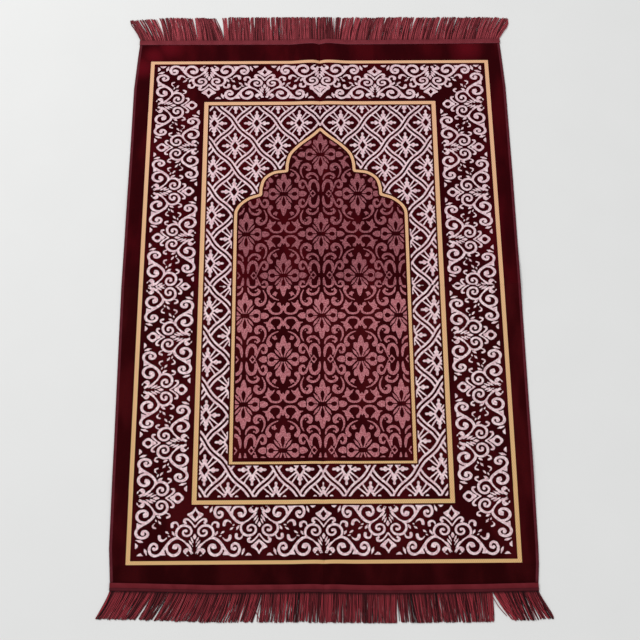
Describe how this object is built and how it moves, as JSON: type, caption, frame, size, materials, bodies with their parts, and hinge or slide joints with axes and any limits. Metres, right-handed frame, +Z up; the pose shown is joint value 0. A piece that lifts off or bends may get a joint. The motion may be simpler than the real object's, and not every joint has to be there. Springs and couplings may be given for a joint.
{
  "type": "prayer rug",
  "caption": "Flat velvet prayer rug with a woven arch, scroll border and lattice, a stitched heading tape and a loose yarn fringe at both ends.",
  "frame": {"origin": "centre of the overall footprint, on the floor under the rug", "axes": "+X to the right across the rug, +Y along the rug towards the tip of its arch, +Z up"},
  "size_m": [0.736, 1.191, 0.0075],
  "materials": {
    "velvet": "cut pile with flat woven figure",
    "tape": "plain ribbed tape",
    "fringe": "twisted yarn"
  },
  "bodies": {
    "root": {"rug_cloth": "velvet", "heading_tape_front": "tape", "heading_tape_back": "tape", "fringe_front": "fringe", "fringe_back": "fringe"}
  },
  "joints": []
}
